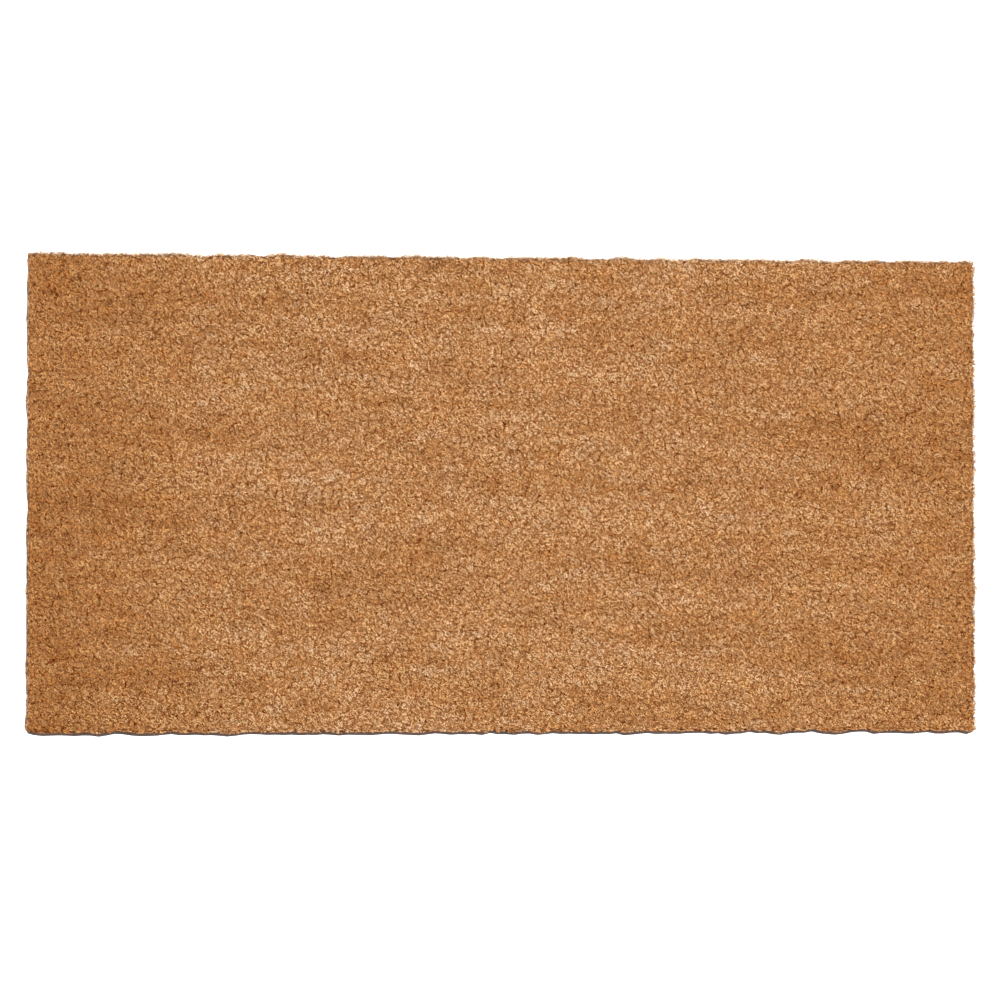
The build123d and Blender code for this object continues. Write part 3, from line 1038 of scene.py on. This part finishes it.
class DOORMAT_OT_packed_coir(bpy.types.Operator):
    """Fills the foot of the pile"""

    bl_idname = "door_mat.packed_coir"
    bl_label = "Packed coir"

    def execute(self, context):
        shared_trees()
        scene = context.scene
        outline = scene.door_mat_outline
        values = {
            **outline_values(outline, outline.bare_rim),
            **layer_values(cell=6 * MM, levels=3, bottom=BACKING_TOP - 0.4 * MM, top=PILE_TOP - 5 * MM),
            "Inset": 1.8 * MM,
            "Rim": 1.2 * MM,
            "Lumps": 2.5 * MM,
            "Material": packed_coir_material(scene.door_mat_colours),
        }
        grow("packed_coir", shared(bpy.data.node_groups, "Layer", slab_tree), values)
        return {"FINISHED"}


class DOORMAT_OT_backing(bpy.types.Operator):
    """Lays the PVC backing under the pile"""

    bl_idname = "door_mat.backing"
    bl_label = "PVC backing"

    def execute(self, context):
        shared_trees()
        scene = context.scene
        values = {
            **outline_values(scene.door_mat_outline),
            **layer_values(cell=7.5 * MM, levels=4, bottom=CAD_LOW.z, top=BACKING_TOP),
            "Inset": 0.0,
            "Rim": 0.3 * MM,
            "Lumps": 0.0,
            "Material": pvc_material(scene.door_mat_colours),
        }
        layer = shared(bpy.data.node_groups, "Layer", slab_tree)
        piece = grow("pvc_backing_sheet", layer, values, "pvc_backing")
        return {"FINISHED"}


FLOOR_REACH = 6.0
FLOOR_LEVEL = -0.1 * MM
# Each light's name, place and size
LIGHTS = (("key_light", (1.7, 1.9, 4.2), 1.6), ("overhead_light", (0.05, 0.0, 1.6), 0.7))


class DOORMAT_OT_stage(bpy.types.Operator):
    """Sets out the floor, the lights and the camera"""

    bl_idname = "door_mat.stage"
    bl_label = "Studio"

    def execute(self, context):
        scene = context.scene
        studio = scene.door_mat_studio
        mesh = bpy.data.meshes.new("studio_floor")
        corners = ((-1, -1), (1, -1), (1, 1), (-1, 1))
        mesh.from_pydata([(FLOOR_REACH * x, FLOOR_REACH * y, FLOOR_LEVEL) for x, y in corners], [], [(0, 1, 2, 3)])
        mesh.materials.append(floor_material(scene.door_mat_colours))
        floor = bpy.data.objects.new("studio_floor", mesh)
        scene.collection.objects.link(floor)

        world = bpy.data.worlds.new("Studio air")
        world.use_nodes = True
        world.node_tree.nodes["Background"].inputs["Color"].default_value = (1, 1, 1, 1)
        world.node_tree.nodes["Background"].inputs["Strength"].default_value = studio.sky
        scene.world = world
        scene.view_settings.view_transform = "Standard"

        powers = (studio.key_power, studio.overhead_power)
        for power, (name, place, size) in zip(powers, LIGHTS):
            light = bpy.data.lights.new(name, "AREA")
            light.energy = power
            light.size = size
            lamp = bpy.data.objects.new(name, light)
            lamp.matrix_world = facing(Vector(place), Vector((0, 0, 0)))
            lamp.visible_camera = False
            scene.collection.objects.link(lamp)

        camera = bpy.data.cameras.new("camera")
        camera.lens = studio.lens
        camera.clip_end = 100
        viewer = bpy.data.objects.new("camera", camera)
        left, near = studio.lean_left, studio.lean_near
        away = Vector((-math.sin(left), -math.sin(near) * math.cos(left), math.cos(near) * math.cos(left)))
        aim = Vector((*studio.aim, 0))
        viewer.matrix_world = facing(aim + studio.camera_distance * away, aim)
        scene.collection.objects.link(viewer)
        scene.camera = viewer
        return {"FINISHED"}


def facing(place, target):
    """A turn and place for a camera or light that looks at the target, with the far side of the mat at the top."""
    ahead = (target - place).normalized()
    right = ahead.cross(Vector((0, 1, 0))).normalized()
    up = right.cross(ahead)
    turn = Matrix((right, up, -ahead)).transposed()
    return Matrix.Translation(place) @ turn.to_4x4()


def layer_values(cell, levels, bottom, top):
    """A layer's heights and how finely it is divided."""
    return {
        "Columns": round(MAT_LENGTH / cell) + 1,
        "Rows": round(MAT_WIDTH / cell) + 1,
        "Levels": levels,
        "Bottom": bottom,
        "Top": top,
    }


class DOORMAT_PT_panel(bpy.types.Panel):
    """The steps that build the mat"""

    bl_label = "Door Mat"
    bl_idname = "DOORMAT_PT_panel"
    bl_space_type = "VIEW_3D"
    bl_region_type = "UI"
    bl_category = "Door Mat"

    def draw(self, context):
        for name in GROUPS:
            settings = getattr(context.scene, name)
            box = self.layout.box()
            for prop in settings.bl_rna.properties:
                if prop.identifier not in {"rna_type", "name"}:
                    box.prop(settings, prop.identifier)
        for operator in OPERATORS:
            self.layout.operator(operator.bl_idname)


OPERATORS = (
    DOORMAT_OT_pile,
    DOORMAT_OT_cut_edges,
    DOORMAT_OT_loose_fibres,
    DOORMAT_OT_packed_coir,
    DOORMAT_OT_backing,
    DOORMAT_OT_stage,
)
GROUPS = {
    "door_mat_outline": OutlineSettings,
    "door_mat_pile": PileSettings,
    "door_mat_colours": ColourSettings,
    "door_mat_studio": StudioSettings,
}


def register():
    for cls in (*GROUPS.values(), *OPERATORS, DOORMAT_PT_panel):
        bpy.utils.register_class(cls)
    for name, group in GROUPS.items():
        setattr(bpy.types.Scene, name, PointerProperty(type=group))


def unregister():
    for name in GROUPS:
        delattr(bpy.types.Scene, name)
    for cls in (DOORMAT_PT_panel, *reversed(OPERATORS), *reversed(GROUPS.values())):
        bpy.utils.unregister_class(cls)


def main():
    register()
    bpy.ops.door_mat.pile()
    bpy.ops.door_mat.cut_edges()
    bpy.ops.door_mat.loose_fibres()
    bpy.ops.door_mat.packed_coir()
    bpy.ops.door_mat.backing()
    bpy.ops.door_mat.stage()


if __name__ == "__main__":
    main()
